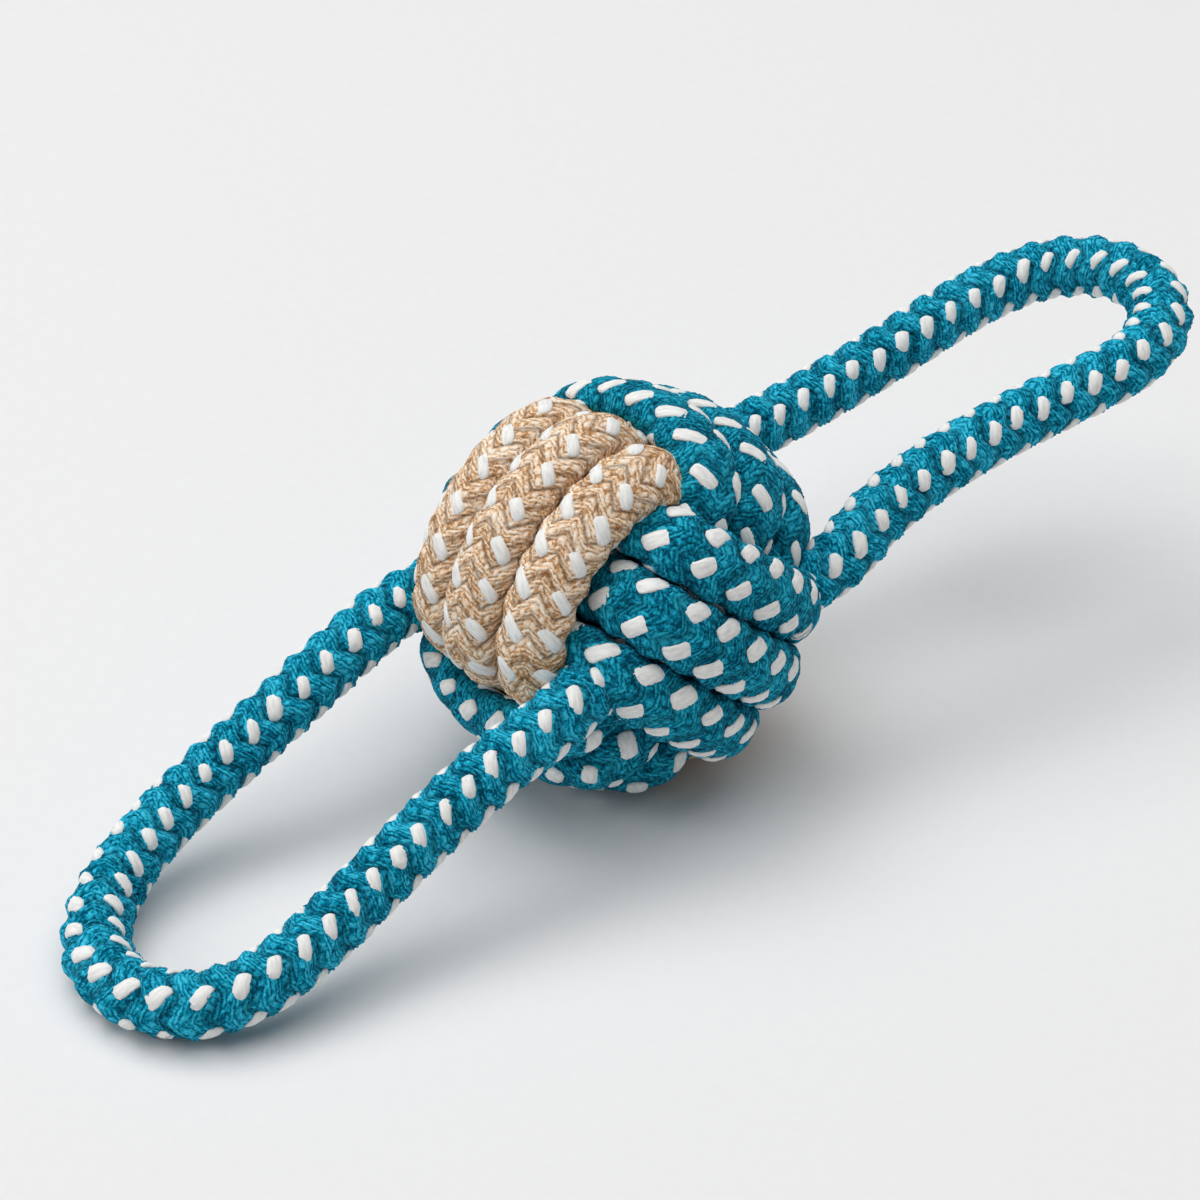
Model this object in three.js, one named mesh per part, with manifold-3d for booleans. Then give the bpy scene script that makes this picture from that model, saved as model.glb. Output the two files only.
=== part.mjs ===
// Rope dog toy: a ball knot of braided cotton rope with a rope loop at each end to hold and tug.
// The knot has three bands of three turns, square to each other. Each band runs over one
// neighbour and under the other, round a filler ball, and one band is undyed rope.
// Millimetres, +Z up. The origin is the middle of the flat that the knot stands on.
import * as THREE from "three";
import { mergeVertices } from "three/addons/utils/BufferGeometryUtils.js";
import Module from "manifold-3d";

// Rope
const ROPE_DIAMETER = 10; // slack rope, as in the handles
const WOUND_WIDTH = 9.8; // the same rope drawn tight in the knot, where it flattens
const WOUND_THICKNESS = 7.4;
const WOUND_SIDES = 6;
const HANDLE_SIDES = 8;

// Knot
const TURNS = 3; // turns in each band
const TURN_GAP = 1.6; // between two turns of a band, side by side
const CROSSING_GAP = 3.7; // between a band and the one that it runs over
const CORE_TUCK = 1.4; // how much less than a band's width the filler ball measures
const CORE_GAP = 0.4; // between the filler ball and the turns that lie on it
const STEPS_PER_TURN = 40;
const OVER_ANGLE = 37; // degrees from the middle of a face where a turn starts to dive
const UNDER_ANGLE = 67; // degrees from there where it lies on the filler ball
const SHIFT_CENTRE = 270; // degrees round the band where each turn moves on to the next place
const SHIFT_HALF = 45; // half of the stretch that this takes
const END_CLEARANCE = 43; // degrees from the shift's middle to the band's two ends

// Stand
const KNOT_PITCH = 5; // degrees, +X side up, where two bands touch the ground together
const FLAT_DEPTH = WOUND_THICKNESS / 10; // how far the rope is pressed flat where it stands

// Handles
const ROOT_GAP = 0.45; // between a handle's end and the turns round its hole
const ROOT_RINGS = 3; // rings of the round end
const HANDLE_STEPS = 44;
// The loops' middle lines between their two roots, from the front leg round to the rear leg.
// Lengths are from the upright through the knot's middle, heights from the ground.
const LEFT_ROUTE = [
  [-40.9, -20.7, 27], [-50.9, -20.1, 22.6], [-61.1, -20.3, 18.2], [-71.3, -21.2, 14.3], [-81.8, -22.6, 11.2],
  [-92.5, -22.9, 8.6], [-102, -19, 6.6], [-107.1, -9.7, 5.5], [-106.4, 1.2, 5.3], [-100.6, 10.3, 6.2],
  [-91.6, 16.4, 8.1], [-81.5, 19.9, 10.8], [-71.2, 21.2, 14.5], [-61.2, 21.1, 19], [-51.3, 20.6, 23.8],
  [-41.1, 20.8, 28.1],
];
const RIGHT_ROUTE = [
  [41.3, -20.7, 41.2], [52.5, -20.4, 44.4], [64.1, -20.8, 46.6], [75.6, -22, 48.4], [87, -23.9, 50.5],
  [98.3, -25.2, 52.4], [108.9, -21.6, 54.6], [115.5, -12.6, 56], [115.3, -1.2, 55.7], [108.8, 7.8, 53.6],
  [98.6, 12.3, 50.5], [87.5, 14.2, 47.2], [76.3, 15.7, 43.8], [65.2, 17.4, 40.7], [53.8, 19, 38.1],
  [42.3, 20.5, 36.6],
];

// Worked out from the sizes above
const TURN_PITCH = WOUND_WIDTH + TURN_GAP;
const CORE_DIAMETER = TURNS * TURN_PITCH - CORE_TUCK;
const UNDER_RADIUS = CORE_DIAMETER / 2 + CORE_GAP + WOUND_THICKNESS / 2;
const OVER_RADIUS = UNDER_RADIUS + WOUND_THICKNESS + CROSSING_GAP;

const wasm = await Module();
wasm.setup();

const dyedCotton = new THREE.MeshStandardMaterial({ color: 0x0b6e86, roughness: 0.95, metalness: 0 });
const undyedCotton = new THREE.MeshStandardMaterial({ color: 0xc39a6b, roughness: 0.95, metalness: 0 });
const filler = new THREE.MeshStandardMaterial({ color: 0x0d5566, roughness: 0.9, metalness: 0 });

// The knot's own axes: each is square to one pair of its six faces.
const upright = new THREE.Matrix4().makeRotationY(-THREE.MathUtils.degToRad(KNOT_PITCH));
const knotAxis = (x, y, z) => new THREE.Vector3(x, y, z).normalize().applyMatrix4(upright);
const frontTop = knotAxis(-1, 0, 1);
const backTop = knotAxis(1, 0, 1);
const side = knotAxis(0, 1, 0);

// One band's middle line, round the knot's middle. It lies over its neighbour on the two faces
// of the axis over, and under the other neighbour on the two faces of the axis under.
function bandLine(over, under, across) {
  const line = [];
  const first = SHIFT_CENTRE - 360 + END_CLEARANCE;
  const last = SHIFT_CENTRE + 360 * (TURNS - 1) - END_CLEARANCE;
  const steps = Math.round(((last - first) / 360) * STEPS_PER_TURN);
  for (let i = 0; i <= steps; i++) {
    const angle = first + ((last - first) * i) / steps;
    const fromFace = Math.abs(THREE.MathUtils.euclideanModulo(angle + 90, 180) - 90);
    const rise = 1 - THREE.MathUtils.smoothstep(fromFace, OVER_ANGLE, UNDER_ANGLE);
    const reach = UNDER_RADIUS + (OVER_RADIUS - UNDER_RADIUS) * rise;
    const place = TURN_PITCH * (turnPlace(angle) - (TURNS - 1) / 2);
    const turned = THREE.MathUtils.degToRad(angle);
    line.push(
      new THREE.Vector3()
        .addScaledVector(over, reach * Math.cos(turned))
        .addScaledVector(under, reach * Math.sin(turned))
        .addScaledVector(across, place),
    );
  }
  return line;
}

// Which place of its band a turn lies in at an angle: 0, 1 or 2, with a ramp where it moves on.
function turnPlace(angle) {
  const sinceShift = (angle - SHIFT_CENTRE) / 360 + 1;
  const turn = Math.round(sinceShift);
  const ramp = ((sinceShift - turn) * 360) / (2 * SHIFT_HALF) + 0.5;
  const linear = THREE.MathUtils.clamp(ramp, 0, 1);
  return turn - 1 + (linear + THREE.MathUtils.smoothstep(linear, 0, 1)) / 2;
}

// The least gap between stretches of one rope that are not next to each other along it.
function leastGap(line, diameter) {
  const apart = Math.ceil(STEPS_PER_TURN / 3);
  let least = Infinity;
  for (let i = 0; i < line.length; i++) {
    for (let j = i + apart; j < line.length; j++) {
      least = Math.min(least, line[i].distanceTo(line[j]));
    }
  }
  return least - diameter;
}

// A closed tube along points, with flat or round ends. Its sections keep one side towards lead(point).
function ropeTube(points, thickness, width, sides, lead, roundEnds) {
  const radius = thickness / 2;
  const rings = points.map((point, i) => ({ point, along: tangent(points, i), radius }));
  if (roundEnds) {
    rings.unshift(...roundEnd(rings[0], -1));
    rings.push(...roundEnd(rings[rings.length - 1], 1).reverse());
  }
  const position = [];
  for (const ring of rings) {
    const outward = lead(ring.point);
    outward.addScaledVector(ring.along, -outward.dot(ring.along)).normalize();
    const sideways = new THREE.Vector3().crossVectors(ring.along, outward);
    for (let k = 0; k < sides; k++) {
      const a = (2 * Math.PI * (k + 0.5)) / sides;
      const corner = ring.point
        .clone()
        .addScaledVector(outward, (ring.radius * Math.cos(a)) / Math.cos(Math.PI / sides))
        .addScaledVector(sideways, ((ring.radius * width) / thickness) * Math.sin(a));
      position.push(corner.x, corner.y, corner.z);
    }
  }
  const index = [];
  for (let i = 0; i + 1 < rings.length; i++) {
    for (let k = 0; k < sides; k++) {
      const a = i * sides + k;
      const b = i * sides + ((k + 1) % sides);
      index.push(a, b, a + sides, b, b + sides, a + sides);
    }
  }
  const lastRing = (rings.length - 1) * sides;
  for (let k = 1; k + 1 < sides; k++) {
    index.push(0, k + 1, k, lastRing, lastRing + k, lastRing + k + 1);
  }
  const geometry = new THREE.BufferGeometry();
  geometry.setAttribute("position", new THREE.Float32BufferAttribute(position, 3));
  geometry.setIndex(index);
  return geometry;
}

function tangent(points, i) {
  const before = points[Math.max(i - 1, 0)];
  const after = points[Math.min(i + 1, points.length - 1)];
  return new THREE.Vector3().subVectors(after, before).normalize();
}

// The rings of a round end past an end ring, smallest first.
function roundEnd(ring, direction) {
  const rings = [];
  for (let i = ROOT_RINGS; i > 0; i--) {
    const a = (Math.PI / 2) * (i / (ROOT_RINGS + 0.5));
    rings.push({
      point: ring.point.clone().addScaledVector(ring.along, direction * ring.radius * Math.sin(a)),
      along: ring.along,
      radius: ring.radius * Math.cos(a),
    });
  }
  return rings;
}

// The first and last stretch of a rope made straight, one diameter long.
function straightEnds(line, diameter) {
  const made = line.map((point) => point.clone());
  for (const [end, step] of [[0, 1], [line.length - 1, -1]]) {
    let count = 1;
    while (line[end].distanceTo(line[end + step * count]) < diameter) count++;
    const from = line[end + step * count];
    const along = new THREE.Vector3().subVectors(line[end + step * (count - 1)], from).normalize();
    for (let i = 0; i < count; i++) {
      const point = line[end + step * i];
      made[end + step * i].copy(from).addScaledVector(along, point.distanceTo(from));
    }
  }
  return made;
}

function solidOf(geometry) {
  const bare = geometry.clone();
  bare.deleteAttribute("normal");
  bare.deleteAttribute("uv");
  const merged = mergeVertices(bare);
  return new wasm.Manifold(
    new wasm.Mesh({
      numProp: 3,
      vertProperties: merged.attributes.position.array,
      triVerts: merged.index.array,
    }),
  );
}

function geometryOf(solid) {
  const mesh = solid.getMesh();
  const geometry = new THREE.BufferGeometry();
  geometry.setAttribute("position", new THREE.BufferAttribute(mesh.vertProperties, 3));
  geometry.setIndex(new THREE.BufferAttribute(mesh.triVerts, 1));
  return geometry;
}

// Everything below z = 0, where the ground presses the rope flat.
function pressedFlat(geometry) {
  const reach = 10 * OVER_RADIUS;
  const ground = new THREE.BoxGeometry(reach, reach, reach).translate(0, 0, -reach / 2);
  return geometryOf(solidOf(geometry).subtract(solidOf(ground)));
}

function piece(name, geometry, material) {
  const shaded = geometry.toNonIndexed();
  shaded.computeVertexNormals();
  const mesh = new THREE.Mesh(shaded, material);
  mesh.name = name;
  return mesh;
}

// Bands
const bands = {
  natural_band: { line: bandLine(frontTop, backTop, side), material: undyedCotton },
  side_band: { line: bandLine(side, frontTop, backTop), material: dyedCotton },
  top_band: { line: bandLine(backTop, side.clone().negate(), frontTop), material: dyedCotton },
};
for (const [name, band] of Object.entries(bands)) {
  band.line = straightEnds(band.line, WOUND_WIDTH);
  console.log(`${name}: least gap to itself ${leastGap(band.line, WOUND_WIDTH).toFixed(2)} mm`);
}

// Stand: the lowest point of the natural band's middle turn is the middle of the flat.
const middleTurn = bands.natural_band.line.filter((p) => Math.abs(p.dot(side)) < TURN_PITCH / 4);
const lowest = middleTurn.reduce((low, p) => (p.z < low.z ? p : low));
const knotMiddle = new THREE.Vector3(-lowest.x, 0, WOUND_THICKNESS / 2 - FLAT_DEPTH - lowest.z);
console.log(`knot's middle: ${knotMiddle.toArray().map((v) => v.toFixed(2)).join(", ")}`);

const toy = new THREE.Group();
for (const [name, band] of Object.entries(bands)) {
  const points = band.line.map((p) => p.clone().add(knotMiddle));
  const outward = (point) => new THREE.Vector3().subVectors(point, knotMiddle);
  const tube = ropeTube(points, WOUND_THICKNESS, WOUND_WIDTH, WOUND_SIDES, outward, false);
  toy.add(piece(name, pressedFlat(tube), band.material));
}

// Core
const core = piece("core_ball", new THREE.SphereGeometry(CORE_DIAMETER / 2, 20, 14), filler);
core.position.copy(knotMiddle);
toy.add(core);

// Handles: each root sits in the hole at a corner of the knot, between three bands.
function rootOf(alongX, alongSide) {
  const corner = new THREE.Vector3()
    .addScaledVector(backTop, alongX)
    .addScaledVector(frontTop, -alongX)
    .addScaledVector(side, alongSide)
    .normalize();
  const clear = (ROPE_DIAMETER + WOUND_WIDTH) / 2 + ROOT_GAP;
  const turns = Object.values(bands).flatMap((band) => band.line);
  let reach = OVER_RADIUS + ROPE_DIAMETER;
  const step = ROOT_GAP / 10;
  const free = (r) => turns.every((p) => p.distanceTo(corner.clone().multiplyScalar(r)) >= clear);
  while (free(reach - step)) reach -= step;
  return corner.multiplyScalar(reach).add(knotMiddle);
}

function handle(name, alongX, route) {
  const placed = route.map(([x, y, z]) => new THREE.Vector3(x + knotMiddle.x, y, z));
  const front = rootOf(alongX, -1);
  const rear = rootOf(alongX, 1);
  console.log(`${name}: roots ${[front, rear].map((p) => p.toArray().map((v) => v.toFixed(2)))}`);
  const line = new THREE.CatmullRomCurve3([front, ...placed, rear]);
  const up = () => new THREE.Vector3(0, 0, 1);
  const loop = line.getSpacedPoints(HANDLE_STEPS);
  const tube = ropeTube(loop, ROPE_DIAMETER, ROPE_DIAMETER, HANDLE_SIDES, up, true);
  return piece(name, tube, dyedCotton);
}
toy.add(handle("left_handle", -1, LEFT_ROUTE));
toy.add(handle("right_handle", 1, RIGHT_ROUTE));

export default toy;
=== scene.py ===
# Rope dog toy: a ball knot of braided cotton rope with a rope loop at each end.
# Lengths are in millimetres until a mesh is made, and metres in Blender. +Z is up.
import math
from types import SimpleNamespace

import bmesh
import bpy
import numpy as np
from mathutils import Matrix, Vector


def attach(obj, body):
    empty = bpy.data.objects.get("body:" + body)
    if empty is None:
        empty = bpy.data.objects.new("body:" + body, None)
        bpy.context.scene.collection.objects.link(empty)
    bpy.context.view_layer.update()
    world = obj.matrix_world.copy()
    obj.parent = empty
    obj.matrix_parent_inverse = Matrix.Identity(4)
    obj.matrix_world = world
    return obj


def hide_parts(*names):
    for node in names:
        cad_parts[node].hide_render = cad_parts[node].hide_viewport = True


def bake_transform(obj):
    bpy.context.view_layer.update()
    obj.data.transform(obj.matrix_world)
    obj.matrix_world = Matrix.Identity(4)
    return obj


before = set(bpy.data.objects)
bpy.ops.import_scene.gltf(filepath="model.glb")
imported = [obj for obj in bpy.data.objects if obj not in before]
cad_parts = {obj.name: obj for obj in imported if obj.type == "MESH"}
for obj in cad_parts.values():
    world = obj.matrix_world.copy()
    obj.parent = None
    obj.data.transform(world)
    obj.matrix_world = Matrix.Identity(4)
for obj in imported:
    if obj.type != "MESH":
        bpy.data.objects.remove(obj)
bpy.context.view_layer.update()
scene = bpy.context.scene
chance = np.random.default_rng(20)

MM = 0.001

# Knot: rounder and fuller than the solids, whose turns keep clear of each other
KNOT_MIDDLE = np.array([-7.37, 0.0, 33.69])
KNOT_PITCH = 5  # degrees that its right end is tipped up
TURNS = 3
TURN_PITCH = 12
UNDER_RADIUS = 20.5  # of a turn's middle line, where it lies under the next band
OVER_RADIUS = 31.2  # and where it lies over it
OVER_ANGLE = 29  # degrees from the middle of a face where a turn starts to go down
UNDER_ANGLE = 65  # and where it is down
CORNERS = (45, 135, 225, 315)  # degrees round a band
CORNER_HALF = 45  # degrees on each side of a corner that belong to it
CORNER_FADE = 30  # degrees in which what is changed at a corner fades out
NATURAL_EARLY = (-7, 0, 0, -5)  # degrees that a band goes down early at each corner, or late
SIDE_EARLY = (10, 0, 0, 0)
TOP_EARLY = (0, 0, 0, 0)
SHIFT_CENTRE = 270  # degrees round a band where a turn moves on to the next place
SHIFT_HALF = 45  # degrees on each side of that in which it moves
END_CLEARANCE = 43  # degrees from there to a band's ends
TUCK_ANGLE = 45  # degrees that a band's ends run on under their neighbours
TUCK_DEPTH = 8  # how far they sink there
BAND_POINTS = 2400
CORE_DIAMETER = 32.8
CORE_SHARE = 0.99  # of that diameter, before its lumps
CORE_LUMPS = 0.025  # height of the lumps, as a share of the radius
CORE_WAVES = ((7, 2), (8, 1), (6, 0))  # radians along x, y and z in one radius, and their starts

# Rope
STRANDS = 4  # thick strands, dyed or natural, and as many rows of flecks
YARNS_IN_STRAND = 5
WOUND_WIDTH = 12.6  # drawn tight in the knot: flattened, and pressed into the next turn
WOUND_THICKNESS = 8.4
WOUND_LEAD = 26  # length in which the plait repeats, with four rounds of flecks
WOUND_RELIEF = (0.8, 0.45)  # groove between strands, and dip under a white yarn
WOUND_DRIFT = (20, 170)  # degrees that the rows of flecks drift round, and the length of one drift
HANDLE_OVER_RIDGES = 11.8  # across the tops of its strands
HANDLE_LEAD = 22.2
HANDLE_RELIEF = (1.3, 1.0)
LEFT_DRIFT = (11, 440)
RIGHT_DRIFT = (6, 440)
ROW_START = 45  # degrees from a rope's outer side to its first row of flecks
LINE_STEP = 0.5  # between the points of a middle line
OVAL_POINTS = 721  # round a rope's section, to share out its girth

# Surface of the strands
MESH_STEP = 0.6
SIDES_PER_YARN = 4
RIDGE_POWER = 1.9  # more is flatter on top, with narrower grooves
CROSSING_POWER = 1.3  # more is a shorter dip under a white yarn
YARN_RELIEF = 0.14
YARN_MEAN = 0.64  # mean height of a yarn's round top, so that yarns leave the rope's size alone
LUMP_RELIEF = 0.07
LUMP_WAVES = ((0.21, 3, 0), (0.087, 1, 1.3), (0.047, 2, 4))  # radians a mm, waves round, and start
ROPE_UNEVENNESS = 0.06

# Flecks: what shows of the white yarns, as length and width
DYED_FLECK = (5.9, 2.9)
NATURAL_FLECK = (5.4, 2.5)
HANDLE_FLECK = (5.5, 2.5)
FLECK_THICKNESS = 0.9
FLECK_STATIONS = np.array([-1, -0.95, -0.75, -0.3, 0.3, 0.75, 0.95, 1])  # from end to end
FLECK_FULLNESS = np.array([0, 0.65, 0.95, 1, 1, 0.95, 0.65, 0])  # share of the width there
FLECK_SIDES = 10
WOUND_TAPER = 1  # more is narrower towards the ends
HANDLE_TAPER = 1.8
FLECK_SINK = 0.8  # share of the dip that a fleck's middle is let down
FLECK_END_DROP = 0.5  # how much deeper its ends are
FLECK_SLIP = 0.03  # spread of the flecks' places, in rounds
FLECK_SWING = 4  # spread of their places round the rope, in degrees
FLECK_SPREAD = 0.08  # spread of their fullness and length
FLECK_UNEVENNESS = 0.07
FLECK_BEND = (0.7, 1.8)  # least and most stretch of a bent rope's side that is allowed for
FLECK_MAP = (6, 3)  # millimetres of yarn that a fleck's UV map covers

# Handles: where they leave the knot, and their middle lines with x from the knot's middle
LEFT_ROOTS = [(-37.99, -21.73, 31.01), (-37.99, 21.73, 31.01)]
RIGHT_ROOTS = [(23.24, -21.73, 36.37), (23.24, 21.73, 36.37)]
LEFT_ROUTE = [
    (-40.9, -20.7, 27), (-50.9, -20.1, 22.6), (-61.1, -20.3, 18.2), (-71.3, -21.2, 14.3),
    (-81.8, -22.6, 11.2), (-92.5, -22.9, 8.6), (-102, -19, 6.6), (-107.1, -9.7, 5.5),
    (-106.4, 1.2, 5.3), (-100.6, 10.3, 6.2), (-91.6, 16.4, 8.1), (-81.5, 19.9, 10.8),
    (-71.2, 21.2, 14.5), (-61.2, 21.1, 19), (-51.3, 20.6, 23.8), (-41.1, 20.8, 28.1),
]
RIGHT_ROUTE = [
    (41.3, -20.7, 41.2), (52.5, -20.4, 44.4), (64.1, -20.8, 46.6), (75.6, -22, 48.4),
    (87, -23.9, 50.5), (98.3, -25.2, 52.4), (108.9, -21.6, 54.6), (115.5, -12.6, 56),
    (115.3, -1.2, 55.7), (108.8, 7.8, 53.6), (98.6, 12.3, 50.5), (87.5, 14.2, 47.2),
    (76.3, 15.7, 43.8), (65.2, 17.4, 40.7), (53.8, 19, 38.1), (42.3, 20.5, 36.6),
]
TAIL = 14  # most that a handle's rope runs on past its root, into the knot
TAIL_INWARD = 0.35  # share of that towards the knot's middle
ROUTE_STEPS = 40  # between two points of a route
ROUTE_SMOOTHING = 24  # passes

# Braid seen close, as the material draws it
NEAREST = 0.5  # scale of a ping-pong node that gives the distance to the nearest whole number
YARN_WANDER = 1.2  # how far yarns stray from their even places, in yarns
YARN_WANDER_SIZE = 2
PLY_TURN = 1.3  # length of a ply's turn
PLY_SLANT = 2.4  # radians of a turn from a yarn's middle to its edge
PLY_STAGGER = 2.4  # radians of a turn from one yarn to the next
TONE_LENGTH = 5  # of one tone along a yarn
TONE_STEP = 7.3  # far enough in the pattern that the next yarn has a tone of its own
SPECK_SIZE = 0.45  # of fibre ends and lint
PATCH_SIZE = 4  # of stronger and weaker colour
TONE_SHARE = 0.3
SPECK_SHARE = 0.5
PATCH_SHARE = 0.2
PLY_SHARE = 0.07
LINE_START = 0.4  # share of the way from a yarn's middle to its edge
LINE_LEAST = 0.45  # of a line's depth, where a ply turns up
GROOVE_START = 0.28  # share of a stroke's spacing, from its palest place
PLY_BUMP = 0.3  # as a share of the specks' bump
SPECK_RANGE = (0.3, 0.7)  # where most of the specks' values are
BRAID_ROUGHNESS = (0.85, 0.98)
COTTON_IOR = 1.45
SHEEN_ROUGHNESS = 0.5

# Camera, at the photograph's angle
CAMERA_SIDE = 40.5  # degrees round to the left of the front
CAMERA_RISE = 32
CAMERA_DISTANCE = 700
CAMERA_SENSOR = 36
CAMERA_CLIP = (0.01, 20)  # metres
PIXELS_PER_MM = 210 / 35.5  # the knot's radius in the frame, over its real one
FRAME_PIXELS = 1200
KNOT_PIXEL = (615, 585)

# Studio, in metres and watts
LAMPS = {  # place as right, away from the camera and up, then width and power
    "key": ((-0.68, 0.72, 2.0), 1.7, 12.0),
    "ceiling": ((0, 0, 2.2), 3.0, 38.0),
    "left_fill": ((-1.7, -0.6, 0.9), 1.2, 10.0),
}
BACKDROP_HALF = 3.0
SURROUNDINGS_LIGHT = 0.16
SURROUNDINGS_SEEN = 0.84  # as pale as the backdrop


# Camera and light


def make_camera():
    """The camera at the photograph's angle. Returns the ways to its right and away from it, both level."""
    side, rise = math.radians(CAMERA_SIDE), math.radians(CAMERA_RISE)
    right = np.array([math.cos(side), -math.sin(side), 0])
    away = np.array([math.sin(side), math.cos(side), 0])
    up = away * math.sin(rise) + np.array([0, 0, math.cos(rise)])
    toward = np.cross(right, up)
    off_right = (KNOT_PIXEL[0] - FRAME_PIXELS / 2) / PIXELS_PER_MM
    off_up = (FRAME_PIXELS / 2 - KNOT_PIXEL[1]) / PIXELS_PER_MM
    aim = KNOT_MIDDLE - right * off_right - up * off_up
    data = bpy.data.cameras.new("camera")
    data.sensor_width = CAMERA_SENSOR
    data.lens = CAMERA_SENSOR * PIXELS_PER_MM * CAMERA_DISTANCE / FRAME_PIXELS
    data.clip_start, data.clip_end = CAMERA_CLIP
    camera = bpy.data.objects.new("camera", data)
    camera.location = Vector((aim + toward * CAMERA_DISTANCE) * MM)
    camera.rotation_mode = "QUATERNION"
    camera.rotation_quaternion = Vector(-toward).to_track_quat("-Z", "Y")
    scene.collection.objects.link(camera)
    scene.camera = camera
    return right, away


def soft_lamp(name, place, size, power):
    """A round soft lamp that faces the toy."""
    data = bpy.data.lights.new(name, "AREA")
    data.shape = "DISK"
    data.size = size
    data.energy = power
    lamp = bpy.data.objects.new(name, data)
    lamp.location = place
    lamp.rotation_mode = "QUATERNION"
    lamp.rotation_quaternion = (-Vector(place)).to_track_quat("-Z", "Y")
    scene.collection.objects.link(lamp)


# Shader helpers


def linear(hex_colour):
    """An sRGB hex colour as linear red, green, blue and alpha."""
    made = []
    for i in (1, 3, 5):
        c = int(hex_colour[i:i + 2], 16) / 255
        made.append(c / 12.92 if c <= 0.04045 else ((c + 0.055) / 1.055) ** 2.4)
    return (*made, 1.0)


def add(tree, kind, sockets=None, **settings):
    """Adds a node, sets its options, and fills or links its sockets."""
    made = tree.nodes.new(kind)
    for name, value in settings.items():
        setattr(made, name, value)
    for socket, value in (sockets or {}).items():
        if isinstance(value, bpy.types.NodeSocket):
            tree.links.new(value, made.inputs[socket])
        else:
            made.inputs[socket].default_value = value
    return made


def empty_material(name):
    """A new material, and its node tree with nothing in it."""
    made = bpy.data.materials.new(name)
    made.use_nodes = True
    made.node_tree.nodes.clear()
    return made, made.node_tree


# Materials


def plait_phase(tree, along, around, lead):
    """Where a point is in the plait: a whole number on a strand's ridge, and half-way in a groove.
    Strands run one way from a row of flecks to half-way to the next, and back from there."""
    ring = add(
        tree, "ShaderNodeMath", {0: along, 1: STRANDS / (lead * MM)}, operation="MULTIPLY"
    ).outputs[0]
    row = add(
        tree, "ShaderNodeMath", {0: around, 1: STRANDS, 2: ring}, operation="MULTIPLY_ADD"
    ).outputs[0]
    from_row = add(tree, "ShaderNodeMath", {0: row, 1: NEAREST}, operation="PINGPONG").outputs[0]
    return add(tree, "ShaderNodeMath", {0: ring, 1: from_row}, operation="SUBTRACT").outputs[0]


def yarn_places(tree, plait, spot):
    """Which yarn a point is on, and how far across it, from -1 to 1. Yarns wander from their even places."""
    wander = add(
        tree, "ShaderNodeTexNoise", {"Vector": spot, "Scale": 1 / (YARN_WANDER_SIZE * MM), "Detail": 1.0}
    ).outputs[0]
    even = add(tree, "ShaderNodeMath", {0: plait, 1: YARNS_IN_STRAND}, operation="MULTIPLY").outputs[0]
    across = add(
        tree, "ShaderNodeMath", {0: wander, 1: YARN_WANDER, 2: even}, operation="MULTIPLY_ADD"
    ).outputs[0]
    yarn = add(tree, "ShaderNodeMath", {0: across}, operation="FLOOR").outputs[0]
    inside = add(tree, "ShaderNodeMath", {0: across}, operation="FRACT").outputs[0]
    from_middle = add(tree, "ShaderNodeMapRange", {0: inside, 1: 0.0, 2: 1.0, 3: -1.0, 4: 1.0}).outputs[0]
    return yarn, from_middle


def ply_turns(tree, along, yarn, from_middle):
    """The turns of the plies, from -1 to 1: slanted one way in one yarn and the other way in the next."""
    way = add(tree, "ShaderNodeMath", {0: yarn, 1: 1.0}, operation="PINGPONG").outputs[0]
    slant = add(
        tree, "ShaderNodeMapRange", {0: way, 1: 0.0, 2: 1.0, 3: -PLY_SLANT, 4: PLY_SLANT}
    ).outputs[0]
    leaning = add(tree, "ShaderNodeMath", {0: from_middle, 1: slant}, operation="MULTIPLY").outputs[0]
    turned = add(
        tree, "ShaderNodeMath", {0: along, 1: 2 * math.pi / (PLY_TURN * MM), 2: leaning},
        operation="MULTIPLY_ADD",
    ).outputs[0]
    staggered = add(
        tree, "ShaderNodeMath", {0: yarn, 1: PLY_STAGGER, 2: turned}, operation="MULTIPLY_ADD"
    ).outputs[0]
    return add(tree, "ShaderNodeMath", {0: staggered}, operation="SINE").outputs[0]


def yarn_shade(tree, along, yarn, ply, speck, spot, contrast):
    """How light a point is, from 0 to 1: each yarn's own tone, specks, patches of stronger and weaker
    colour, and the turns of the plies."""
    yarn_at = add(tree, "ShaderNodeCombineXYZ", {0: along, 1: yarn}).outputs[0]
    tone_at = add(
        tree, "ShaderNodeVectorMath", {0: yarn_at, 1: (1 / (TONE_LENGTH * MM), TONE_STEP, 1)},
        operation="MULTIPLY",
    ).outputs[0]
    tone = add(tree, "ShaderNodeTexNoise", {"Vector": tone_at, "Scale": 1.0, "Detail": 1.0}).outputs[0]
    patch = add(
        tree, "ShaderNodeTexNoise", {"Vector": spot, "Scale": 1 / (PATCH_SIZE * MM), "Detail": 2.0}
    ).outputs[0]
    mixed = add(tree, "ShaderNodeMath", {0: tone, 1: TONE_SHARE}, operation="MULTIPLY").outputs[0]
    for part, share in ((speck, SPECK_SHARE), (patch, PATCH_SHARE), (ply, PLY_SHARE)):
        mixed = add(
            tree, "ShaderNodeMath", {0: part, 1: share, 2: mixed}, operation="MULTIPLY_ADD"
        ).outputs[0]
    half = 0.5 / contrast
    return add(
        tree, "ShaderNodeMapRange", {0: mixed, 1: 0.5 - half, 2: 0.5 + half, 3: 0.0, 4: 1.0}
    ).outputs[0]


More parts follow.
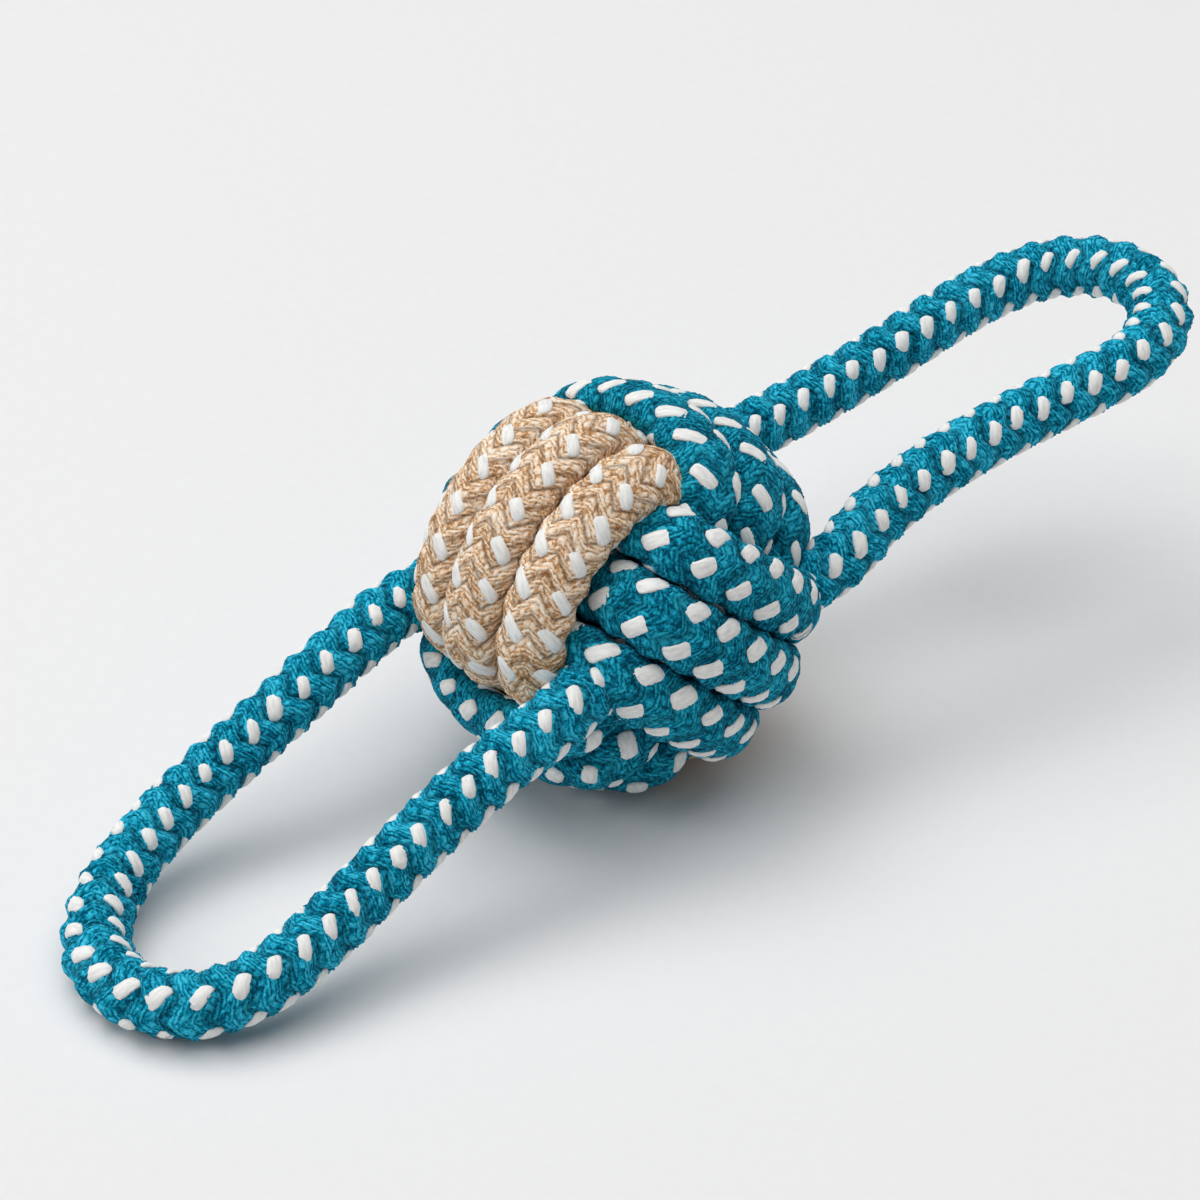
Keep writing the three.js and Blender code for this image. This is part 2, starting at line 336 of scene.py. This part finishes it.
def braid_material(name, colours, contrast, yarn_line_shade, strokes, stroke_depth, lead):
    """Braided cotton: matt twisted yarns side by side, a little lighter or darker than each other, with the
    turns of their plies as a fine slanted hatch, fibre ends as specks, and shade in the lines between."""
    made, tree = empty_material(name)
    where = add(tree, "ShaderNodeUVMap", uv_map="UVMap").outputs[0]
    parts = add(tree, "ShaderNodeSeparateXYZ", {0: where}).outputs
    along, around = parts[0], parts[1]
    spot = add(tree, "ShaderNodeTexCoord").outputs["Object"]
    plait = plait_phase(tree, along, around, lead)
    yarn, from_middle = yarn_places(tree, plait, spot)
    edge = add(tree, "ShaderNodeMath", {0: from_middle}, operation="ABSOLUTE").outputs[0]
    ply = ply_turns(tree, along, yarn, from_middle)
    speck = add(
        tree, "ShaderNodeTexNoise", {"Vector": spot, "Scale": 1 / (SPECK_SIZE * MM), "Detail": 2.0}
    ).outputs[0]

    # deep is the colour of the painted shade in the lines and grooves. On the natural braid it also draws
    # the pattern line down the middle of each ridge
    deep, dark, middle, light = (linear(colour) for colour in colours)
    shade = yarn_shade(tree, along, yarn, ply, speck, spot, contrast)
    ramp = add(tree, "ShaderNodeValToRGB", {0: shade})
    ramp.color_ramp.elements[0].color = dark
    ramp.color_ramp.elements[1].color = light
    ramp.color_ramp.elements.new(0.5).color = middle

    # Painted shade in the lines between the yarns, darkest where a ply turns down into them
    line = add(
        tree, "ShaderNodeMapRange", {0: edge, 1: LINE_START, 2: 1.0, 3: 0.0, 4: yarn_line_shade}
    ).outputs[0]
    broken = add(
        tree, "ShaderNodeMapRange", {0: ply, 1: -1.0, 2: 1.0, 3: 1.0, 4: LINE_LEAST}
    ).outputs[0]
    shade_between_yarns = add(tree, "ShaderNodeMath", {0: line, 1: broken}, operation="MULTIPLY").outputs[0]

    # Painted shade: dark strokes in the grooves between the strands, where less light gets in.
    # Two strokes to a strand mark the middle of its ridge as well.
    stroke = add(
        tree, "ShaderNodeMath", {0: plait, 1: strokes, 2: 0.5 * (strokes - 1)}, operation="MULTIPLY_ADD"
    ).outputs[0]
    from_pale = add(tree, "ShaderNodeMath", {0: stroke, 1: NEAREST}, operation="PINGPONG").outputs[0]
    groove = add(
        tree, "ShaderNodeMapRange", {0: from_pale, 1: GROOVE_START, 2: NEAREST, 3: 0.0, 4: stroke_depth}
    ).outputs[0]
    depth = add(tree, "ShaderNodeMath", {0: shade_between_yarns, 1: groove}, operation="MAXIMUM").outputs[0]
    colour = add(
        tree, "ShaderNodeMix", {0: depth, 6: ramp.outputs[0], 7: deep}, data_type="RGBA"
    ).outputs[2]

    # Round yarns with plies and fibre ends on them
    rounding = add(tree, "ShaderNodeMath", {0: edge, 1: edge}, operation="MULTIPLY").outputs[0]
    fibres = add(
        tree, "ShaderNodeMath", {0: ply, 1: PLY_BUMP, 2: speck}, operation="MULTIPLY_ADD"
    ).outputs[0]
    height = add(tree, "ShaderNodeMath", {0: fibres, 1: rounding}, operation="SUBTRACT").outputs[0]
    bump = add(tree, "ShaderNodeBump", {"Strength": 0.5, "Distance": 0.3 * MM, "Height": height}).outputs[0]
    least, most = SPECK_RANGE
    smoothest, roughest = BRAID_ROUGHNESS
    rough = add(
        tree, "ShaderNodeMapRange", {0: speck, 1: least, 2: most, 3: smoothest, 4: roughest}
    ).outputs[0]
    surface = add(
        tree, "ShaderNodeBsdfPrincipled",
        {
            "Base Color": colour, "Roughness": rough, "IOR": COTTON_IOR, "Specular IOR Level": 0.06,
            "Sheen Weight": 0.02, "Sheen Roughness": SHEEN_ROUGHNESS, "Normal": bump,
        },
    )
    add(tree, "ShaderNodeOutputMaterial", {0: surface.outputs[0]})
    return made


def bleached_yarn_material():
    """Bleached cotton yarn: bright white, with fibres a quarter of a millimetre wide that run along it, and
    painted grey shade only in the lines between."""
    made, tree = empty_material("bleached_cotton_yarn")
    where = add(tree, "ShaderNodeUVMap", uv_map="UVMap").outputs[0]
    fibre_at = add(
        tree, "ShaderNodeVectorMath", {0: where, 1: (1 / (1.0 * MM), 1 / (0.25 * MM), 0)},
        operation="MULTIPLY",
    ).outputs[0]
    fibre = add(tree, "ShaderNodeTexNoise", {"Vector": fibre_at, "Scale": 1.0, "Detail": 2.0}).outputs[0]
    # Painted shade: grey where the fibre noise is low, in the lines between the fibres
    ramp = add(tree, "ShaderNodeValToRGB", {0: fibre})
    ramp.color_ramp.elements[0].position = 0.25
    ramp.color_ramp.elements[0].color = linear("#dadcda")
    ramp.color_ramp.elements[1].position = 0.6
    ramp.color_ramp.elements[1].color = linear("#f6f5f2")
    bump = add(tree, "ShaderNodeBump", {"Strength": 0.4, "Distance": 0.2 * MM, "Height": fibre}).outputs[0]
    surface = add(
        tree, "ShaderNodeBsdfPrincipled",
        {
            "Base Color": ramp.outputs[0], "Roughness": 0.9, "IOR": COTTON_IOR,
            "Sheen Weight": 0.05, "Sheen Roughness": SHEEN_ROUGHNESS, "Normal": bump,
        },
    )
    add(tree, "ShaderNodeOutputMaterial", {0: surface.outputs[0]})
    return made


def filler_material():
    """Packed cotton waste: tufts of offcuts 3 mm across, dull and rough, in the dark inside the knot. Its
    dark teal is painted shade.
    """
    made, tree = empty_material("packed_cotton_waste")
    spot = add(tree, "ShaderNodeTexCoord").outputs["Object"]
    tuft = add(
        tree, "ShaderNodeTexVoronoi", {"Vector": spot, "Scale": 1 / (3 * MM), "Randomness": 1.0}
    ).outputs["Distance"]
    ramp = add(tree, "ShaderNodeValToRGB", {0: tuft})
    # Painted shade: a darker teal than the rope, for the inside of the knot
    ramp.color_ramp.elements[0].color = linear("#0c5a6c")
    ramp.color_ramp.elements[1].color = linear("#063540")
    bump = add(tree, "ShaderNodeBump", {"Strength": 0.6, "Distance": 0.8 * MM, "Height": tuft}).outputs[0]
    surface = add(
        tree, "ShaderNodeBsdfPrincipled",
        {"Base Color": ramp.outputs[0], "Roughness": 0.95, "IOR": COTTON_IOR, "Normal": bump},
    )
    add(tree, "ShaderNodeOutputMaterial", {0: surface.outputs[0]})
    return made


def backdrop_material():
    """Matt white backdrop paper: an even pale grey with hardly any grain, 2.5 mm across."""
    made, tree = empty_material("matt_backdrop_paper")
    spot = add(tree, "ShaderNodeTexCoord").outputs["Object"]
    grain = add(
        tree, "ShaderNodeTexNoise", {"Vector": spot, "Scale": 1 / (2.5 * MM), "Detail": 3.0}
    ).outputs[0]
    ramp = add(tree, "ShaderNodeValToRGB", {0: grain})
    ramp.color_ramp.elements[0].color = linear("#ebebec")
    ramp.color_ramp.elements[1].color = linear("#efefef")
    surface = add(
        tree, "ShaderNodeBsdfPrincipled", {"Base Color": ramp.outputs[0], "Roughness": 0.95, "IOR": 1.4}
    )
    add(tree, "ShaderNodeOutputMaterial", {0: surface.outputs[0]})
    return made


# Rope lines


def smoothstep(x, low, high):
    """Eases from 0 to 1 while x goes from low to high."""
    t = np.clip((x - low) / (high - low), 0, 1)
    return t * t * (3 - 2 * t)


def knot_axis(x, y, z):
    """A direction of the untilted knot, after its pitch."""
    pitch = math.radians(KNOT_PITCH)
    turned = np.array([
        x * math.cos(pitch) - z * math.sin(pitch), y, x * math.sin(pitch) + z * math.cos(pitch)
    ])
    return turned / np.linalg.norm(turned)


def turn_place(angle):
    """Which place of its band a turn lies in: 0, 1 or 2, with a ramp where it moves on to the next."""
    since_shift = (angle - SHIFT_CENTRE) / 360 + 1
    turn = np.round(since_shift)
    ramp = np.clip((since_shift - turn) * 360 / (2 * SHIFT_HALF) + 0.5, 0, 1)
    place = turn - 1 + (ramp + smoothstep(ramp, 0, 1)) / 2
    return np.clip(place, 0, TURNS - 1)


def band_line(over, under, across, early):
    """A band's middle line: over its neighbour on the faces of one axis, under the other on the next.
    At each of its four corners it may go down some degrees early, or late, to meet the band over it."""
    first = SHIFT_CENTRE - 360 + END_CLEARANCE
    last = SHIFT_CENTRE + 360 * (TURNS - 1) - END_CLEARANCE
    angle = np.linspace(first - TUCK_ANGLE, last + TUCK_ANGLE, BAND_POINTS)
    from_face = np.abs((angle + 90) % 180 - 90)
    sooner = np.zeros(len(angle))
    for corner, degrees in zip(CORNERS, early):
        sooner += degrees * smoothstep(CORNER_HALF - np.abs(angle % 360 - corner), 0, CORNER_FADE)
    dive = smoothstep(from_face + sooner, OVER_ANGLE, UNDER_ANGLE)
    ball = UNDER_RADIUS + (OVER_RADIUS - UNDER_RADIUS) * (1 - dive)
    ball -= TUCK_DEPTH * smoothstep(np.maximum(first - angle, angle - last), 0, TUCK_ANGLE)

    # Outer turns lie lower, so that a band is round across as well
    place = TURN_PITCH * (turn_place(angle) - (TURNS - 1) / 2)
    rise = (ball - UNDER_RADIUS) / (OVER_RADIUS - UNDER_RADIUS)
    ball -= (OVER_RADIUS - np.sqrt(OVER_RADIUS ** 2 - place ** 2)) * np.clip(rise, 0, 1)
    turned = np.radians(angle)
    return (
        KNOT_MIDDLE
        + np.outer(ball * np.cos(turned), over)
        + np.outer(ball * np.sin(turned), under)
        + np.outer(place, across)
    )


def lengths_along(line):
    """How far each point of a line is from its start, along the line."""
    return np.concatenate([[0], np.cumsum(np.linalg.norm(np.diff(line, axis=0), axis=1))])


def even_steps(line, step):
    """The same line with points at even steps, and how far each is along it."""
    walked = lengths_along(line)
    at = np.linspace(0, walked[-1], int(walked[-1] / step) + 1)
    return at, np.stack([np.interp(at, walked, line[:, k]) for k in range(3)], axis=1)


def loop_line(roots, route):
    """A handle's middle line through its two roots, with a tail that runs on from each into the knot."""
    placed = [np.array(p, float) + (KNOT_MIDDLE[0], 0, 0) for p in route]
    front, rear = np.array(roots[0]), np.array(roots[1])
    tails = []
    for root, leg in ((front, placed[0]), (rear, placed[-1])):
        onward = (root - leg) / np.linalg.norm(root - leg)
        inward = (KNOT_MIDDLE - root) / np.linalg.norm(KNOT_MIDDLE - root)
        tails.append(root + TAIL * ((1 - TAIL_INWARD) * onward + TAIL_INWARD * inward))

    # One smooth curve through all the points
    stops = np.array([tails[0], front, *placed, rear, tails[1]])
    before = 2 * stops[0] - stops[1]
    after = 2 * stops[-1] - stops[-2]
    stops = np.vstack([before, stops, after])
    t = np.linspace(0, 1, ROUTE_STEPS, endpoint=False)[:, None]
    line = []
    for i in range(1, len(stops) - 2):
        a, b, c, d = stops[i - 1:i + 3]
        line.append(0.5 * (
            2 * b + (c - a) * t
            + (2 * a - 5 * b + 4 * c - d) * t ** 2
            + (3 * b - a - 3 * c + d) * t ** 3
        ))
    line.append(stops[-2][None])
    line = even_steps(np.vstack(line), LINE_STEP)[1]
    for _ in range(ROUTE_SMOOTHING):
        line[1:-1] = (line[:-2] + 2 * line[1:-1] + line[2:]) / 4
    return line


def from_knot_middle(points):
    """The outer side of a wound turn."""
    return points - KNOT_MIDDLE


def upward(points):
    """The outer side of a loop's rope."""
    return np.tile([0.0, 0.0, 1.0], (len(points), 1))


def rope_run(line, width, thickness, lead, outward, drift):
    """A stretch of rope: even steps along its line, with the directions that its section is set out by.
    Its rows of flecks lie half-way between those directions, and drift as the rope twists a little."""
    at, points = even_steps(line, LINE_STEP)
    tangent = np.gradient(points, axis=0)
    tangent /= np.linalg.norm(tangent, axis=1)[:, None]
    outer = outward(points)
    outer = outer - tangent * np.sum(outer * tangent, axis=1)[:, None]
    outer /= np.linalg.norm(outer, axis=1)[:, None]
    outside = points + outer * thickness / 2
    drifted, wave = drift
    flat = thickness / width
    angle = np.linspace(-math.pi, math.pi, OVAL_POINTS)
    round_oval = lengths_along(np.stack([flat * np.cos(angle), np.sin(angle)], axis=1))
    return SimpleNamespace(
        at=at, points=points, outward=outer, sideways=np.cross(tangent, outer),
        row=np.radians(ROW_START + drifted * np.cos(2 * math.pi * at / wave)),
        stretch=np.linalg.norm(np.gradient(outside, axis=0), axis=1) / LINE_STEP,
        length=at[-1], lead=lead, ring=lead / STRANDS,
        radius=width / 2, mean_radius=width / 2 * round_oval[-1] / (2 * math.pi), flat=flat,
        angle=angle, share=(round_oval / round_oval[-1] * 2 - 1) * math.pi,
    )


def on_rope(run, at, turn, radius):
    """The points at a distance along a rope, a share of its girth as an angle, and a radius.
    None is below the ground."""
    turn = turn + np.interp(at, run.at, run.row)
    turn = np.interp((turn + math.pi) % (2 * math.pi) - math.pi, run.share, run.angle)
    made = np.zeros((len(at), 3))
    for k in range(3):
        made[:, k] = (
            np.interp(at, run.at, run.points[:, k])
            + np.interp(at, run.at, run.outward[:, k]) * np.cos(turn) * radius * run.flat
            + np.interp(at, run.at, run.sideways[:, k]) * np.sin(turn) * radius
        )
    made[:, 2] = np.maximum(made[:, 2], 0)
    return made


# Meshes


def sheet(along, around):
    """A flat sheet of faces with a UV map, ready to be rolled up."""
    made = bmesh.new()
    made.loops.layers.uv.new("UVMap")
    bmesh.ops.create_grid(made, x_segments=along, y_segments=around, size=0.5, calc_uvs=True)
    made.verts.ensure_lookup_table()
    flat = np.array([v.co for v in made.verts])
    return made, flat[:, 0] + 0.5, flat[:, 1] + 0.5


def roll_up(made, points, u_length, v_length):
    """Moves the sheet's vertices to their places, joins the seam and gives the UV map real lengths."""
    for vertex, point in zip(made.verts, points * MM):
        vertex.co = point
    layer = made.loops.layers.uv.active
    for face in made.faces:
        for corner in face.loops:
            corner[layer].uv = (corner[layer].uv[0] * u_length, corner[layer].uv[1] * v_length)
    bmesh.ops.remove_doubles(made, verts=made.verts, dist=1e-6)
    bmesh.ops.recalc_face_normals(made, faces=made.faces)


def unevenness(u, v, along, around, size):
    """A small chance offset for each vertex of a sheet, the same on both sides of its seam."""
    offsets = chance.normal(0, size, (along + 1, around))
    return offsets[np.round(u * along).astype(int), np.round(v * around).astype(int) % around]


def linked_mesh(name, made, material):
    """A shape as an object of the scene."""
    data = bpy.data.meshes.new(name)
    made.to_mesh(data)
    made.free()
    data.materials.append(material)
    placed = bpy.data.objects.new(name, data)
    scene.collection.objects.link(placed)
    return placed


def smooth_piece(name, made, material):
    """A shape as a smooth piece of the toy."""
    piece = linked_mesh(name, made, material)
    piece.data.polygons.foreach_set("use_smooth", np.ones(len(piece.data.polygons), bool))
    return piece


def braided_rope(name, run, relief, material):
    """The thick strands of a rope: rounded ridges that turn back and forth between the rows of flecks, each
    of fine yarns side by side. A ridge dips where a white yarn crosses over it."""
    along = int(run.length / MESH_STEP)
    around = STRANDS * YARNS_IN_STRAND * SIDES_PER_YARN
    made, u, v = sheet(along, around)
    at = u * run.length
    round_it = v * 2 * math.pi

    # The plait, as in its material
    ring = at / run.ring
    row = v * STRANDS + ring
    plait = ring - np.abs(row - np.round(row))
    off_ridge = plait - np.round(plait)
    ridge = 1 - np.abs(2 * off_ridge) ** RIDGE_POWER
    crossing = (0.5 + 0.5 * np.cos(2 * math.pi * ring)) ** CROSSING_POWER

    # Grooves, dips, yarns and the lumps of soft rope
    groove, dip = relief
    yarn = np.abs(np.sin(math.pi * YARNS_IN_STRAND * (off_ridge + 0.5)))
    lumps = sum(np.sin(at * per_mm + waves * round_it + start) for per_mm, waves, start in LUMP_WAVES)
    radius = run.radius - groove * (1 - ridge) - dip * ridge * crossing
    radius += YARN_RELIEF * (yarn - YARN_MEAN) + LUMP_RELIEF * lumps / len(LUMP_WAVES)
    radius += unevenness(u, v, along, around, ROPE_UNEVENNESS)

    # Round ends
    from_end = np.clip(np.minimum(at, run.length - at) / run.radius, 0, 1)
    radius *= np.sqrt(1 - (1 - from_end) ** 2)
    points = on_rope(run, at, round_it + 2 * math.pi * at / run.lead, radius)
    roll_up(made, points, run.length * MM, 1)
    return smooth_piece(name, made, material)


def white_yarns(name, run, size, taper, relief, material):
    """The white yarns of a rope where they show: short raised flecks in four rows, slanted across the rope.
    Each is a flattened capsule that lies in a ridge's dip, with its ends in the grooves on both sides."""
    stations = len(FLECK_STATIONS)
    count = int(run.length / run.ring) * STRANDS
    columns = count * stations - 1
    made, u, v = sheet(columns, FLECK_SIDES)
    links = [
        face for face in made.faces
        if round((face.calc_center_median().x + 0.5) * columns - 0.5) % stations == stations - 1
    ]
    bmesh.ops.delete(made, geom=links, context="FACES_ONLY")
    column = np.round(u * columns).astype(int)
    fleck, station = column // stations, column % stations

    # No two flecks are quite alike
    slip = chance.normal(0, FLECK_SLIP, count)[fleck] * run.ring
    swing = chance.normal(0, math.radians(FLECK_SWING), count)[fleck]
    plump = chance.normal(1, FLECK_SPREAD, count)[fleck]
    longer = chance.normal(1, FLECK_SPREAD, count)[fleck]

    # Each point along its fleck, across it and above its middle
    length, width = size
    full = FLECK_FULLNESS[station] ** taper * plump
    round_it = v * 2 * math.pi
    down = FLECK_STATIONS[station] * length / 2 * longer
    across = width / 2 * full * np.cos(round_it) + unevenness(u, v, columns, FLECK_SIDES, FLECK_UNEVENNESS)
    height = FLECK_THICKNESS / 2 * full * np.sin(round_it)

    # Flecks laid on the rope at a slant, and kept to their real size where it bends
    slant = math.atan2(2 * math.pi * run.mean_radius, run.lead)
    row = fleck % STRANDS * (2 * math.pi / STRANDS)
    first = fleck // STRANDS * run.ring + slip
    facing = np.cos(row + np.interp(first, run.at, run.row))
    bend = np.clip(1 + (np.interp(first, run.at, run.stretch) - 1) * facing, *FLECK_BEND)
    at = first + (down * math.cos(slant) + across * math.sin(slant)) / bend
    turn = (across * math.cos(slant) - down * math.sin(slant)) / run.mean_radius + row + swing
    dip = relief[1]
    middle = run.radius - FLECK_SINK * dip - FLECK_END_DROP * np.abs(FLECK_STATIONS[station]) ** 3
    points = on_rope(run, at, turn, middle + height)
    map_length, map_width = FLECK_MAP
    roll_up(made, points, count * map_length * MM, map_width * MM)
    return smooth_piece(name, made, material)


def filler_ball(material):
    """Packed waste in the middle of the knot: a lumpy ball."""
    made = bmesh.new()
    bmesh.ops.create_icosphere(made, subdivisions=5, radius=CORE_DIAMETER / 2 * MM)
    for vertex in made.verts:
        way = vertex.co.normalized()
        lumps = math.prod(math.sin(turns * w + start) for w, (turns, start) in zip(way, CORE_WAVES))
        vertex.co = Vector(KNOT_MIDDLE * MM) + vertex.co * (CORE_SHARE + CORE_LUMPS * lumps)
    return smooth_piece("core_filler", made, material)


# Parts of the toy


def wound_band(name, line, braid, fleck_size, white_yarn):
    """One band of the knot, with its flecks."""
    run = rope_run(line, WOUND_WIDTH, WOUND_THICKNESS, WOUND_LEAD, from_knot_middle, WOUND_DRIFT)
    rope = braided_rope(name + "_rope", run, WOUND_RELIEF, braid)
    flecks = white_yarns(name + "_flecks", run, fleck_size, WOUND_TAPER, WOUND_RELIEF, white_yarn)
    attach(rope, "knot")
    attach(flecks, "knot")
    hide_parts(name)


def loop_handle(name, roots, route, drift, braid, white_yarn):
    """One loop of rope, with its flecks. Its line curves in where it leaves the knot."""
    line = loop_line(roots, route)
    run = rope_run(line, HANDLE_OVER_RIDGES, HANDLE_OVER_RIDGES, HANDLE_LEAD, upward, drift)
    rope = braided_rope(name + "_handle_rope", run, HANDLE_RELIEF, braid)
    flecks = white_yarns(
        name + "_handle_flecks", run, HANDLE_FLECK, HANDLE_TAPER, HANDLE_RELIEF, white_yarn
    )
    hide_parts(name + "_handle")
    for piece in (rope, flecks):
        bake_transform(piece)


# Studio


def make_backdrop():
    """A level sheet of backdrop paper under the toy."""
    made = bmesh.new()
    bmesh.ops.create_grid(made, x_segments=8, y_segments=8, size=BACKDROP_HALF)
    linked_mesh("backdrop", made, backdrop_material())


def make_surroundings():
    """Surroundings that look as pale as the backdrop, and light the toy only a little."""
    world = bpy.data.worlds.new("studio")
    world.use_nodes = True
    tree = world.node_tree
    tree.nodes.clear()
    ray = add(tree, "ShaderNodeLightPath").outputs
    seen = ray["Is Camera Ray"]
    for kind in ("Is Glossy Ray", "Is Transmission Ray"):
        seen = add(tree, "ShaderNodeMath", {0: seen, 1: ray[kind]}, operation="MAXIMUM").outputs[0]
    strength = add(
        tree, "ShaderNodeMapRange",
        {0: seen, 1: 0.0, 2: 1.0, 3: SURROUNDINGS_LIGHT, 4: SURROUNDINGS_SEEN},
    ).outputs[0]
    sky = add(tree, "ShaderNodeBackground", {"Color": (1, 1, 1, 1), "Strength": strength}).outputs[0]
    add(tree, "ShaderNodeOutputWorld", {0: sky})
    scene.world = world


# The toy in its studio

right, away = make_camera()

# The same teal dye as two copies. The knot's copy is darker (painted shade) and the handles' copy is lighter
# (painted light), for how openly each is lit
teal_braid = braid_material(
    "dyed_cotton_braid", ("#012132", "#004b64", "#058ba9", "#31bbd9"),
    contrast=4.2, yarn_line_shade=0.6, strokes=1, stroke_depth=0.55, lead=WOUND_LEAD,
)
# Painted light: a lighter copy of the knot's teal for the handles, with deeper painted shade in its grooves
lighter_lit_teal_braid = braid_material(
    "dyed_cotton_braid_painted_lighter", ("#012638", "#005571", "#079ec0", "#42cff0"),
    contrast=4.2, yarn_line_shade=0.6, strokes=1, stroke_depth=0.65, lead=HANDLE_LEAD,
)
tan_braid = braid_material(
    "natural_cotton_braid", ("#5a3719", "#bc8c5e", "#f7d3ad", "#fff3e2"),
    contrast=4.6, yarn_line_shade=0.5, strokes=2, stroke_depth=0.68, lead=WOUND_LEAD,
)
white_yarn = bleached_yarn_material()

left_top = knot_axis(-1, 0, 1)
right_top = knot_axis(1, 0, 1)
side_way = knot_axis(0, 1, 0)
natural_line = band_line(left_top, right_top, side_way, NATURAL_EARLY)
side_line = band_line(side_way, left_top, right_top, SIDE_EARLY)
top_line = band_line(right_top, -side_way, left_top, TOP_EARLY)
wound_band("natural_band", natural_line, tan_braid, NATURAL_FLECK, white_yarn)
wound_band("side_band", side_line, teal_braid, DYED_FLECK, white_yarn)
wound_band("top_band", top_line, teal_braid, DYED_FLECK, white_yarn)

core = filler_ball(filler_material())
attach(core, "knot")
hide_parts("core_ball")

loop_handle("left", LEFT_ROOTS, LEFT_ROUTE, LEFT_DRIFT, lighter_lit_teal_braid, white_yarn)
loop_handle("right", RIGHT_ROOTS, RIGHT_ROUTE, RIGHT_DRIFT, lighter_lit_teal_braid, white_yarn)

make_backdrop()
for name, ((to_right, to_far, to_top), size, power) in LAMPS.items():
    soft_lamp(name, tuple(right * to_right + away * to_far + np.array([0, 0, to_top])), size, power)
make_surroundings()
scene.view_settings.view_transform = "Standard"
